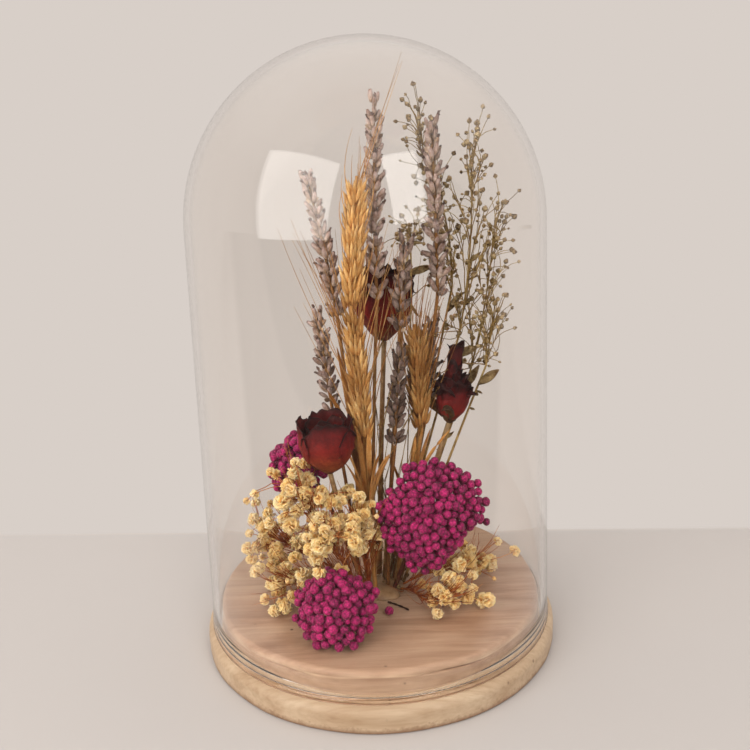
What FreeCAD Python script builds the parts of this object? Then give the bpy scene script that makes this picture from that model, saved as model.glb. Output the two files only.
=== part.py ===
import FreeCAD
import Part
import math
import os

from FreeCAD import Vector

# A glass bell jar over a dried-flower arrangement on a two-layer wooden base.
# Millimetres. The origin is the centre of the base's underside, +Z is up, -Y is the front.
# Each function below makes one kind of piece. Each piece is one closed solid in its own STEP file.

# Wooden base: a lower disc with a rounded-over edge, and a raised disc glued on it.
BASE_RADIUS = 88.0
LEDGE_HEIGHT = 12.0
BASE_TOP_ROUND = 4.0
BASE_BOTTOM_ROUND = 1.5
PLINTH_RADIUS = 80.8
PLINTH_TOP = 26.6
PLINTH_ROUND = 1.2

# Glass dome: a wall that leans slightly inwards, closed by a crown of round section.
RIM_RADIUS = 85.0
CROWN_RADIUS = 81.5
DOME_TOP = 287.0
CROWN_CENTRE = DOME_TOP - CROWN_RADIUS
GLASS_WALL = 3.0
RIM_ROUND = 0.8

# Mound of set glue that holds the feet of the stems.
MOUND_CENTRE = (-1.0, -11.0)
MOUND_RADIUS = 14.0
MOUND_HEIGHT = 4.6
FOOT_DEPTH = 3.4
FOOT_HEIGHT = PLINTH_TOP + MOUND_HEIGHT - FOOT_DEPTH

# Outlines of the turned flower heads: (share of the radius, share of the length) from the neck up.
SPIKE_OUTLINE = [(0.75, 0.1), (1.0, 0.4), (0.8, 0.75), (0.4, 0.95)]
EAR_OUTLINE = [(0.8, 0.08), (1.0, 0.3), (0.9, 0.65), (0.45, 0.93)]
ROSE_OUTLINE = [(0.45, 0.04), (0.86, 0.25), (1.0, 0.5), (0.92, 0.85), (0.7, 1.0)]
CORYMB_OUTLINE = [(0.6, 0.22), (1.0, 0.55), (0.86, 0.82), (0.45, 0.98)]
BUD_OUTLINE = [(0.75, 0.2), (1.0, 0.5), (0.75, 0.8)]

# A spray's twigs leave its axis one after another, each a golden angle round from the last.
GOLDEN_ANGLE = math.radians(137.508)
TWIG_RISE = 0.22
AXIS_SHARE = 1.3

# Lavender: foot on the mound, neck where the florets start, tip.
LAVENDER_STEM = 0.8
LAVENDER_RADIUS = 5.0
LAVENDER = [
    ((-6, -9), (-15, 1, 164), (-26, 1, 230)),
    ((-9, -13), (-19, -4, 115), (-24, -3, 166)),
    ((-3, -5), (4, -1, 172), (6, 0, 264)),
    ((7, -7), (33, 4, 172), (31, 3, 253)),
    ((3, -8), (14, -6, 157), (18, -7, 198)),
    ((4, -14), (10, -13, 104), (14, -13, 150)),
    ((5, -2), (27, 12, 116), (31, 12, 160)),
]

# Wheat: foot, neck, tip of the ear's body without its awns.
WHEAT_STEM = 1.1
WHEAT_RADIUS = 6.0
WHEAT = [
    ((-5, -13), (-8, -9, 168), (-3, -9, 228)),
    ((-2, -18), (-4, -18, 106), (-8, -18, 172)),
    ((8, -10), (23, -7, 108), (21, -7, 160)),
]

# Roses: foot, base of the flower, top of the flower, radius.
ROSE_STEM = 1.3
ROSES = {
    "rose_front": ((-7, -17), (-21, -27, 97), (-22, -27, 124), 13.5),
    "rose_rear": ((0, -1), (7, 17, 148), (7, 17, 187), 10.5),
    "rose_right": ((10, -6), (37, -3, 111), (41, 0, 150), 8.5),
}

# Rice flower: foot, back of the head, direction the head faces, radius and depth of the head.
RICE_STEM = 1.2
RICE_FLOWERS = {
    "rice_flower_left": ((-9, -6), (-34, 3, 88), (-0.5, -0.45, 0.5), 19.0, 17.0),
    "rice_flower_right": ((7, -15), (24, -20, 72), (0.12, -0.95, 0.15), 28.0, 19.0),
    "rice_flower_front": ((-3, -22), (-19, -50, 38), (-0.1, -0.7, 0.7), 20.0, 19.0),
}

# Cream gypsophila: foot, start and end of the flowering part, spread, number of flowers.
CREAM_STEM = 0.6
CREAM_TWIG = 0.35
CREAM_FLOWER = 2.6
CREAM = [
    ((-11, -14), (-29, -31, 75), (-38, -27, 101), 8, 12),
    ((-9, -18), (-19, -42, 64), (-26, -46, 84), 7, 11),
    ((-12, -10), (-38, -7, 46), (-64, -5, 60), 10, 9),
    ((-12, -13), (-32, -20, 38), (-56, -26, 40), 8, 8),
    ((-5, -20), (-6, -30, 54), (-7, -30, 80), 7, 10),
    ((10, -15), (20, -34, 33), (48, -37, 34), 7, 9),
    ((11, -11), (34, -10, 34), (58, -4, 40), 7, 8),
]

# Green baby's breath: foot, start and end of the flowering part, spread, number of buds.
GREEN_STEM = 0.8
GREEN_TWIG = 0.3
GREEN_BUD = 1.2
GREEN = [
    ((9, 0), (42, 24, 172), (24, 13, 270), 5, 14),
    ((7, -3), (44, 12, 150), (53, 9, 246), 10, 20),
    ((11, -3), (50, 17, 130), (66, 16, 212), 9, 14),
    ((2, -7), (20, 7, 196), (24, 8, 214), 7, 9),
    ((12, -8), (56, 4, 136), (62, 5, 174), 5, 9),
]

# A bead and a twig that have fallen onto the plinth.
BEAD_RADIUS = 2.2
BEAD_PLACE = (4, -36)
TWIG_RADIUS = 0.6
TWIG_START = (4, -26)
TWIG_END = (13, -33)


def at_foot(place):
    """Point of a stem's foot inside the mound."""
    return Vector(place[0], place[1], FOOT_HEIGHT)


def rod(start, end, radius):
    """Round bar between two points."""
    run = end - start
    return Part.makeCylinder(radius, run.Length, start, run)


def ball(centre, radius):
    return Part.makeSphere(radius, centre)


def turned(outline, neck_radius, radius, base, top):
    """Solid turned about the line from base to top, from an outline in shares of its size."""
    length = (top - base).Length
    points = [Vector(0, 0, 0), Vector(neck_radius, 0, 0)]
    points += [Vector(radius * share, 0, length * height) for share, height in outline]
    points += [Vector(0, 0, length), Vector(0, 0, 0)]
    face = Part.Face(Part.makePolygon(points))
    solid = face.revolve(Vector(0, 0, 0), Vector(0, 0, 1), 360)
    turn = FreeCAD.Rotation(Vector(0, 0, 1), top - base)
    solid.Placement = FreeCAD.Placement(base, turn)
    return solid


def flower(foot, neck, tip, stem_radius, outline, radius):
    """Straight stem from the mound to the neck, with a turned head from the neck to the tip."""
    stem = rod(at_foot(foot), neck, stem_radius)
    joint = ball(neck, stem_radius)
    head = turned(outline, stem_radius, radius, neck, tip)
    return stem.multiFuse([joint, head]).removeSplitter()


def golden_tips(start, end, spread, count):
    """Points around a line from start to end, each a golden angle on from the last."""
    axis = (end - start).normalize()
    side = axis.cross(Vector(0, 1, 0)).normalize()
    across = axis.cross(side)
    tips = []
    for index in range(count):
        share = (index + 0.5) / count
        reach = spread * math.sin(math.pi * (0.2 + 0.75 * share))
        angle = index * GOLDEN_ANGLE
        offset = side * (reach * math.cos(angle)) + across * (reach * math.sin(angle))
        tips.append((share, start + (end - start) * share + offset))
    return tips


def budded_twig(root, tip, twig_radius, bud_radius):
    """Straight twig from its root, with a bud centred on its tip."""
    top = tip + (tip - root).normalize() * bud_radius
    bud_share = 2 * bud_radius / (top - root).Length
    outline = [(twig_radius / bud_radius, 1 - bud_share)]
    outline += [(width, 1 - bud_share * (1 - height)) for width, height in BUD_OUTLINE]
    return turned(outline, twig_radius, bud_radius, root, top)


def spray(foot, start, end, spread, count, stem_radius, twig_radius, bud_radius):
    """Branching sprig: a stem, an axis that carries twigs, and a bud on the end of each."""
    lowest = PLINTH_TOP + bud_radius + 0.2
    parts = [rod(at_foot(foot), start, stem_radius), ball(start, stem_radius)]
    parts.append(budded_twig(start, end, twig_radius * AXIS_SHARE, bud_radius))
    for share, tip in golden_tips(start, end, spread, count):
        tip.z = max(tip.z, lowest)
        root = start + (end - start) * max(0.0, share - TWIG_RISE)
        parts.append(budded_twig(root, tip, twig_radius, bud_radius))
    return parts[0].multiFuse(parts[1:]).removeSplitter()


def base_disc():
    disc = Part.makeCylinder(BASE_RADIUS, LEDGE_HEIGHT)
    top = [edge for edge in disc.Edges if edge.CenterOfMass.z > LEDGE_HEIGHT - 0.1]
    disc = disc.makeFillet(BASE_TOP_ROUND, top)
    bottom = [edge for edge in disc.Edges if abs(edge.BoundBox.ZMax) < 0.1]
    return disc.makeFillet(BASE_BOTTOM_ROUND, bottom)


def centre_plinth():
    disc = Part.makeCylinder(PLINTH_RADIUS, PLINTH_TOP - LEDGE_HEIGHT, Vector(0, 0, LEDGE_HEIGHT))
    top = [edge for edge in disc.Edges if edge.BoundBox.ZMin > PLINTH_TOP - 0.1]
    return disc.makeFillet(PLINTH_ROUND, top)


def wall_lean():
    """Angle from upright of the wall line that runs from the rim and touches the crown's circle."""
    rise = CROWN_CENTRE - LEDGE_HEIGHT
    return math.acos(CROWN_RADIUS / math.hypot(RIM_RADIUS, rise)) - math.atan2(rise, RIM_RADIUS)


def on_crown(radius, angle):
    """Point of a circle about the crown's centre, in the XZ plane."""
    return Vector(radius * math.cos(angle), 0, CROWN_CENTRE + radius * math.sin(angle))


def wall_and_crown(rim, radius):
    """Line from a rim point up to the crown, and the crown's arc up to the axis."""
    lean = wall_lean()
    shoulder = on_crown(radius, lean)
    middle = on_crown(radius, (lean + math.pi / 2) / 2)
    top = Vector(0, 0, CROWN_CENTRE + radius)
    return [Part.makeLine(rim, shoulder), Part.Arc(shoulder, middle, top).toShape()]


def glass_dome():
    inner_radius = CROWN_RADIUS - GLASS_WALL
    rim_outer = Vector(RIM_RADIUS, 0, LEDGE_HEIGHT)
    rim_inner = Vector(RIM_RADIUS - GLASS_WALL / math.cos(wall_lean()), 0, LEDGE_HEIGHT)
    outline = wall_and_crown(rim_outer, CROWN_RADIUS) + wall_and_crown(rim_inner, inner_radius)
    outline.append(Part.makeLine(rim_inner, rim_outer))
    outline.append(Part.makeLine(Vector(0, 0, DOME_TOP - GLASS_WALL), Vector(0, 0, DOME_TOP)))
    face = Part.Face(Part.Wire(Part.__sortEdges__(outline)))
    dome = face.revolve(Vector(0, 0, 0), Vector(0, 0, 1), 360)
    rim = [edge for edge in dome.Edges if edge.BoundBox.ZMax < LEDGE_HEIGHT + 0.1]
    return dome.makeFillet(RIM_ROUND, rim)


def glue_mound(stems):
    """Low rounded mound on the plinth, moulded around the feet of the stems."""
    ball_radius = (MOUND_RADIUS ** 2 + MOUND_HEIGHT ** 2) / (2 * MOUND_HEIGHT)
    middle = Vector(MOUND_CENTRE[0], MOUND_CENTRE[1], PLINTH_TOP + MOUND_HEIGHT - ball_radius)
    floor = Part.makeCylinder(MOUND_RADIUS + 1, MOUND_HEIGHT + 1, Vector(*MOUND_CENTRE, PLINTH_TOP))
    return ball(middle, ball_radius).common(floor).cut(Part.makeCompound(stems))


def make_flowers():
    """Every plant that stands in the mound, by node name."""
    plants = {}
    for number, (foot, neck, tip) in enumerate(LAVENDER, 1):
        plants[f"lavender_{number}"] = flower(
            foot, Vector(*neck), Vector(*tip), LAVENDER_STEM, SPIKE_OUTLINE, LAVENDER_RADIUS)
    for number, (foot, neck, tip) in enumerate(WHEAT, 1):
        plants[f"wheat_ear_{number}"] = flower(
            foot, Vector(*neck), Vector(*tip), WHEAT_STEM, EAR_OUTLINE, WHEAT_RADIUS)
    for name, (foot, neck, top, radius) in ROSES.items():
        plants[name] = flower(foot, Vector(*neck), Vector(*top), ROSE_STEM, ROSE_OUTLINE, radius)
    for name, (foot, back, facing, radius, depth) in RICE_FLOWERS.items():
        front = Vector(*back) + Vector(*facing).normalize() * depth
        plants[name] = flower(foot, Vector(*back), front, RICE_STEM, CORYMB_OUTLINE, radius)
    for number, (foot, start, end, spread, count) in enumerate(CREAM, 1):
        plants[f"cream_spray_{number}"] = spray(
            foot, Vector(*start), Vector(*end), spread, count, CREAM_STEM, CREAM_TWIG, CREAM_FLOWER)
    for number, (foot, start, end, spread, count) in enumerate(GREEN, 1):
        plants[f"green_spray_{number}"] = spray(
            foot, Vector(*start), Vector(*end), spread, count, GREEN_STEM, GREEN_TWIG, GREEN_BUD)
    return plants


def fallen_bead():
    return ball(Vector(*BEAD_PLACE, PLINTH_TOP + BEAD_RADIUS), BEAD_RADIUS)


def fallen_twig():
    height = PLINTH_TOP + TWIG_RADIUS
    return rod(Vector(*TWIG_START, height), Vector(*TWIG_END, height), TWIG_RADIUS)


def make_pieces():
    """Every piece of the bell jar, by node name."""
    pieces = make_flowers()
    pieces["glue_mound"] = glue_mound(list(pieces.values()))
    pieces["base_disc"] = base_disc()
    pieces["centre_plinth"] = centre_plinth()
    pieces["glass_dome"] = glass_dome()
    pieces["fallen_bead"] = fallen_bead()
    pieces["fallen_twig"] = fallen_twig()
    return pieces


os.makedirs("parts", exist_ok=True)
for node, shape in make_pieces().items():
    shape.exportStep(f"parts/{node}.step")
    print(node, len(shape.Solids), round(shape.Volume, 1), shape.isValid())
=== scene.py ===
"""The looks of a glass bell jar dome over dried flowers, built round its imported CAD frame.

Lengths are in metres, in the frame of the CAD. Each plant reads its foot, neck and head from its
own CAD node, and detailed pieces then stand in for that node.
"""

import math

import bpy
import numpy as np
from mathutils import Matrix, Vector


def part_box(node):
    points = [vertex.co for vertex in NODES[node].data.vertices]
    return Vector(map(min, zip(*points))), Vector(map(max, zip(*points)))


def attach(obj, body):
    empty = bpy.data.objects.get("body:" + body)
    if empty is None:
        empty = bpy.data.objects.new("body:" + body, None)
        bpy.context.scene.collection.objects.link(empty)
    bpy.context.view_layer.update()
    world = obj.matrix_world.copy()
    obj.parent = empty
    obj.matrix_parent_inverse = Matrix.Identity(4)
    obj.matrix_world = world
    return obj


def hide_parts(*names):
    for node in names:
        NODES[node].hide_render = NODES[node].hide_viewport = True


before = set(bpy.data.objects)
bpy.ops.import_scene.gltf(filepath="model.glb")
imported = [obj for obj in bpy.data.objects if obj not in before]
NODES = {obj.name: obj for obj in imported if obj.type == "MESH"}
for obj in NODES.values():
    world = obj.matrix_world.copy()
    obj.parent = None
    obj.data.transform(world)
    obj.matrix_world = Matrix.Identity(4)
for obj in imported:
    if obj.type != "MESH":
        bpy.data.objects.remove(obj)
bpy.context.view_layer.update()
TURN = 2 * math.pi
GOLDEN_ANGLE = math.radians(137.508)

# The camera: where it stands, and how it is turned, in degrees
CAMERA_PLACE = (0.0, -0.3931, 0.2449)
CAMERA_PAN = 0.256
CAMERA_PITCH = 15.74
CAMERA_ROLL = -2.198
CAMERA_LENS_MM = 40.8

# The light: two soft windows in front, and the pale room all round
LIGHT_CENTRE = (0.0, 0.0, 0.2)
LIGHT_DISTANCE = 1.2
WINDOWS = {
    "window_left": {"azimuth": -44, "elevation": 21, "size": (1.0, 1.0), "watts": 9.5},
    "window_right": {"azimuth": 26, "elevation": 25, "size": (0.42, 0.85), "watts": 4.2},
}
WINDOW_COLOUR = (1.0, 0.97, 0.93)
SCREEN_GAP = 0.01
SCREEN_MARGIN = 1.02
ROOM_COLOUR = (216, 207, 200)
ROOM_BEHIND = (146, 139, 133)
CEILING_COLOUR = (246, 240, 235)
TABLE_COLOUR = (204, 199, 196)
TABLE_IN_REFLECTIONS = (56, 52, 49)
FLOOR_SIZE = 60.0
WALL_LINE = 0.105
WALL_LINE_SLOPE = -0.068
WALL_LINE_BLEND = 0.004
FRONT_LINE = -0.085
FRONT_BLEND = 0.02
ROOM_TURNS_DARK = (-0.35, 0.1)
CEILING_BEGINS = (0.45, 0.85)

# The room left for the plants inside the glass
GLASS_CLEARANCE = 0.0025

# Mesh detail
GLASS_SIDES = 192
DISC_SIDES = 360
STEM_SIDES = 7
TWIG_SIDES = 5
HAIR_SIDES = 4

# How thick the finest parts are at their start and at their end
AWN_RADII = (0.00022, 0.00007)
FIBRE_RADII = (0.00022, 0.0001)
BEAD_STALK_RADII = (0.0004, 0.00035)
HUB_RADII = (0.0008, 0.0005)
ROSE_STEM_RADII = (0.0014, 0.0012)
RICE_STEM_RADII = (0.0011, 0.0011)


# ---------------------------------------------------------------- shapes


class Shape:
    """Points, the blocks of faces between them, and each point's place along its part."""

    def __init__(self, points, blocks, along):
        self.points = points
        self.blocks = blocks
        self.along = along


def generator(name):
    """A seeded source of random numbers for a piece, the same in every run."""
    return np.random.default_rng(sum((i + 1) * ord(c) for i, c in enumerate(name)))


def unit(vector):
    vector = np.asarray(vector, float)
    return vector / np.linalg.norm(vector)


def across(axis, roll=0.0):
    """Two directions square to an axis and to each other, turned about it by roll."""
    axis = unit(axis)
    helper = np.array([1.0, 0.0, 0.0]) if abs(axis[2]) > 0.8 else np.array([0.0, 0.0, 1.0])
    side = unit(np.cross(helper, axis))
    other = np.cross(axis, side)
    return (
        math.cos(roll) * side + math.sin(roll) * other,
        math.cos(roll) * other - math.sin(roll) * side,
    )


def grid_faces(rows, columns, wrap):
    """The four-sided faces of a grid of points; wrap joins its last column to its first."""
    spans = columns if wrap else columns - 1
    row, column = np.meshgrid(np.arange(rows - 1), np.arange(spans), indexing="ij")
    beside = (column + 1) % columns
    corners = [
        row * columns + column,
        row * columns + beside,
        (row + 1) * columns + beside,
        (row + 1) * columns + column,
    ]
    return np.stack(corners, -1).reshape(-1, 4)


def skin(rings):
    """A closed skin over rings of points, with one more point in the middle of each end."""
    rows, columns = rings.shape[:2]
    points = np.vstack([rings.reshape(-1, 3), rings[0].mean(0), rings[-1].mean(0)])
    ring = np.arange(columns)
    beside = (ring + 1) % columns
    last = (rows - 1) * columns
    first_end = np.full(columns, rows * columns)
    fans = np.vstack(
        [
            np.stack([first_end, beside, ring], -1),
            np.stack([first_end + 1, last + ring, last + beside], -1),
        ]
    )
    along = np.append(np.repeat(np.linspace(0, 1, rows), columns), [0, 1])
    return Shape(points, [grid_faces(rows, columns, True), fans], along)


def lathe(profile, sides, ridges=0.0):
    """A closed turned shape from (radius, height) pairs; ridges swell every second side."""
    profile = np.asarray(profile, float)
    angles = np.arange(sides) * TURN / sides
    swell = 1 + ridges * np.cos(angles * sides / 2)
    radii = profile[:, :1] * swell
    heights = np.repeat(profile[:, 1:], sides, axis=1)
    return skin(np.stack([radii * np.cos(angles), radii * np.sin(angles), heights], -1))


def sweep(path, radii, sides):
    """A closed tube along a path of points, with its radius at each."""
    path = np.asarray(path, float)
    tangents = np.gradient(path, axis=0)
    tangents /= np.linalg.norm(tangents, axis=1)[:, None]
    angles = np.arange(sides) * TURN / sides
    side, _ = across(tangents[0])
    rings = []
    for point, tangent, radius in zip(path, tangents, radii):
        side = unit(side - tangent * (side @ tangent))
        other = np.cross(tangent, side)
        ring = np.outer(np.cos(angles), side) + np.outer(np.sin(angles), other)
        rings.append(point + radius * ring)
    return skin(np.array(rings))


def sheet(grid, thickness):
    """A closed thin sheet over a grid of points, with a front, a back and edges."""
    rows, columns = grid.shape[:2]
    normals = np.cross(np.gradient(grid, axis=1), np.gradient(grid, axis=0))
    lengths = np.linalg.norm(normals, axis=2, keepdims=True)
    normals = normals / np.maximum(lengths, 1e-12)
    front = grid + normals * thickness / 2
    back = (grid - normals * thickness / 2)[:, ::-1]
    rings = np.concatenate([front, back], axis=1)
    span = np.arange(columns - 1)
    behind = 2 * columns - 1 - span
    cap = np.stack([span, behind, behind - 1, span + 1], -1)
    caps = np.vstack([cap, (cap + (rows - 1) * 2 * columns)[:, ::-1]])
    along = np.repeat(np.linspace(0, 1, rows), 2 * columns)
    return Shape(rings.reshape(-1, 3), [grid_faces(rows, 2 * columns, True), caps], along)


def placed(shape, origin, axis, roll=0.0, size=1.0):
    """A template that stands on the origin along +Z, sized, turned along an axis and moved."""
    side, other = across(axis, roll)
    turn = np.stack([side, other, unit(axis)])
    return Shape(shape.points * size @ turn + origin, shape.blocks, shape.along)


def curve(start, control, end, steps):
    """A smooth path that leaves start towards control and comes to end."""
    t = np.linspace(0, 1, steps)[:, None]
    return (1 - t) ** 2 * start + 2 * t * (1 - t) * control + t**2 * end


def at_share(path, share):
    """The point and the direction at a share of a path's length."""
    place = share * (len(path) - 1)
    first = min(int(place), len(path) - 2)
    step = path[first + 1] - path[first]
    return path[first] + (place - first) * step, unit(step)


def ripple(points, size, seed):
    """Smooth random-looking numbers from about -1 to 1, which change over about that size."""
    rng = np.random.default_rng(seed)
    total = np.zeros(points.shape[:-1])
    for _ in range(6):
        direction = unit(rng.normal(size=3)) * TURN / (size * rng.uniform(0.7, 1.7))
        total += np.sin(points @ direction + rng.uniform(0, TURN))
    return total / 3


# ---------------------------------------------------------------- reading the CAD


GLUE_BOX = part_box("glue_mound")


def mesh_of(node):
    """The separate points of a CAD node, and the edges between them."""
    mesh = NODES[node].data
    points = np.array([v.co for v in mesh.vertices])
    points, index = np.unique(points.round(7), axis=0, return_inverse=True)
    edges = index.ravel()[np.array([e.vertices[:] for e in mesh.edges])]
    return points, edges[edges[:, 0] != edges[:, 1]]


def stem_of(points, edges):
    """Both ends of a plant's stem, which stands in the glue: long straight edges join them."""
    low, high = GLUE_BOX
    in_glue = np.all((points > low) & (points < high), axis=1)
    lowest = points[in_glue][:, 2].min()
    foot = points[in_glue & (points[:, 2] < lowest + 0.001)].mean(0)
    ends = points[edges]
    low = ends[:, :, 2].argmin(1)
    rows = np.arange(len(ends))
    lower, upper = ends[rows, low], ends[rows, 1 - low]
    near = np.linalg.norm(lower - foot, axis=1) < 0.003
    lengths = np.linalg.norm(upper - lower, axis=1)
    longest = lengths[near].max()
    stem = near & (lengths > 0.9 * longest)
    return lower[stem].mean(0), upper[stem].mean(0)


class Flower:
    """A flower's stem and head, read from its CAD node."""

    def __init__(self, node):
        points, edges = mesh_of(node)
        self.foot, self.neck = stem_of(points, edges)
        along = unit(self.neck - self.foot)
        reach = points - self.foot
        share = np.clip(reach @ along, 0, np.linalg.norm(self.neck - self.foot))
        off_stem = np.linalg.norm(reach - share[:, None] * along, axis=1)
        head = points[off_stem > 0.0022] - self.neck
        self.axis = unit(head.mean(0))
        self.length = (head @ self.axis).max()
        self.radius = np.linalg.norm(head - np.outer(head @ self.axis, self.axis), axis=1).max()
        self.tip = self.neck + self.axis * self.length


def bud_centres(points, edges, bud_radius):
    """The middle of each bud of a spray: its points are joined by short edges."""
    lengths = np.linalg.norm(points[edges[:, 0]] - points[edges[:, 1]], axis=1)
    group = np.arange(len(points))
    short = edges[lengths < 1.7 * bud_radius]
    changed = True
    while changed:
        low = np.minimum(group[short[:, 0]], group[short[:, 1]])
        before = group.copy()
        np.minimum.at(group, short[:, 0], low)
        np.minimum.at(group, short[:, 1], low)
        group = group[group]
        changed = bool((before != group).any())
    centres = []
    for label in np.unique(group):
        members = points[group == label]
        width = np.linalg.norm(members.max(0) - members.min(0))
        if 1.6 * bud_radius < width < 4.5 * bud_radius:
            centres.append((members.max(0) + members.min(0)) / 2)
    return np.array(centres)


glass_points, _ = mesh_of("glass_dome")
glass_reach = np.linalg.norm(glass_points[:, :2], axis=1)
RIM_BOTTOM = glass_points[:, 2].min()
DOME_TOP = glass_points[:, 2].max()
RIM_RADIUS = glass_reach.max()
GLASS_WALL = RIM_RADIUS - glass_reach[glass_points[:, 2] < RIM_BOTTOM + 0.001].min()
crown_point = np.argmax(glass_reach - 10 * abs(glass_points[:, 2] - DOME_TOP + 0.04))
crown_drop = DOME_TOP - glass_points[crown_point, 2]
CROWN_RADIUS = (glass_reach[crown_point] ** 2 + crown_drop**2) / (2 * crown_drop)
CROWN_CENTRE = DOME_TOP - CROWN_RADIUS
PLINTH_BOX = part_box("centre_plinth")
PLINTH_TOP = PLINTH_BOX[1].z


def held_inside(points):
    """The points, drawn in where they would come too near the glass."""
    points = np.array(points, float)
    above = np.maximum(points[..., 2] - CROWN_CENTRE, 0)
    reach = np.sqrt(points[..., 0] ** 2 + points[..., 1] ** 2 + above**2)
    room = CROWN_RADIUS - GLASS_WALL - GLASS_CLEARANCE
    share = np.minimum(1, room / np.maximum(reach, 1e-9))
    points[..., :2] *= share[..., None]
    points[..., 2] -= above * (1 - share)
    return points


# ---------------------------------------------------------------- pieces


class Piece:
    """Gathers shapes into one mesh, with a tint and a place along its part at each point."""

    def __init__(self):
        self.points = []
        self.faces = []
        self.tints = []
        self.alongs = []
        self.count = 0

    def add(self, shape, tint=0.5, along=None):
        """Adds a shape; along, when given, is one value for the whole shape."""
        size = len(shape.points)
        self.points.append(shape.points)
        for block in shape.blocks:
            self.faces.extend((block + self.count).tolist())
        self.tints.append(np.full(size, tint))
        self.alongs.append(shape.along if along is None else np.full(size, along))
        self.count += size

    def strand(self, path, radii, sides, tint, along=None):
        """Adds a thread along a path, with its radii at its start and at its end."""
        self.add(sweep(path, np.linspace(*radii, len(path)), sides), tint, along)

    def make(self, name, material, slot, body="base", node=None):
        """Makes the Blender object, which rides on a body and may stand in for a CAD node."""
        mesh = bpy.data.meshes.new(name)
        mesh.from_pydata(np.vstack(self.points).tolist(), [], self.faces)
        for label, values in (("tint", self.tints), ("along", self.alongs)):
            layer = mesh.attributes.new(label, "FLOAT", "POINT")
            layer.data.foreach_set("value", np.concatenate(values).astype(np.float32))
        mesh.shade_smooth()
        mesh.materials.append(MATERIALS[material])
        piece = bpy.data.objects.new(name, mesh)
        bpy.context.scene.collection.objects.link(piece)
        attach(piece, body)
        if node:
            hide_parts(node)


# ---------------------------------------------------------------- materials


PALE = (255, 255, 255)
BLACK = (0, 0, 0)
GLASS_BODY = (252, 250, 248)
GLASS_IOR = 1.46
DULL_SPECULAR = 0.3


def grey(level):
    """A grey from its usual 0 to 255 value."""
    return (level, level, level)


def rgb(red, green, blue):
    """A colour from its usual 0 to 255 values, as Blender's linear ones."""
    shares = [value / 255 for value in (red, green, blue)]
    linear = [s / 12.92 if s < 0.04045 else ((s + 0.055) / 1.055) ** 2.4 for s in shares]
    return (*linear, 1.0)


class Nodes:
    """The nodes of a material or of the world, with short ways to add and join them."""

    MIX_INPUTS = {"fac": 0, "a": 6, "b": 7}
    MIX_COLOUR = 2

    def __init__(self, tree):
        self.nodes = tree.nodes
        self.links = tree.links

    def put(self, socket, value):
        """Joins a socket to the value if that is a socket too, and sets it if not."""
        if isinstance(value, bpy.types.NodeSocket):
            self.links.new(value, socket)
        else:
            socket.default_value = value

    def add(self, kind, values, **settings):
        """A new node with its settings, and with values put on its inputs."""
        node = self.nodes.new("ShaderNode" + kind)
        for key, value in settings.items():
            setattr(node, key, value)
        for key, value in values.items():
            self.put(node.inputs[key], value)
        return node

    def maths(self, operation, *values, clamp=False):
        """The result of an operation on numbers or sockets, kept from 0 to 1 by clamp."""
        inputs = dict(enumerate(values))
        return self.add("Math", inputs, operation=operation, use_clamp=clamp).outputs[0]

    def mix(self, amount, first, second, blend="MIX"):
        """Two colours mixed by an amount, or by a blend such as MULTIPLY."""
        node = self.add("Mix", {}, data_type="RGBA", blend_type=blend)
        for key, value in (("fac", amount), ("a", first), ("b", second)):
            self.put(node.inputs[self.MIX_INPUTS[key]], value)
        return node.outputs[self.MIX_COLOUR]

    def times(self, colour, other, amount=1.0):
        """A colour multiplied by another, in full or by an amount."""
        return self.mix(amount, colour, other, "MULTIPLY")


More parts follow.
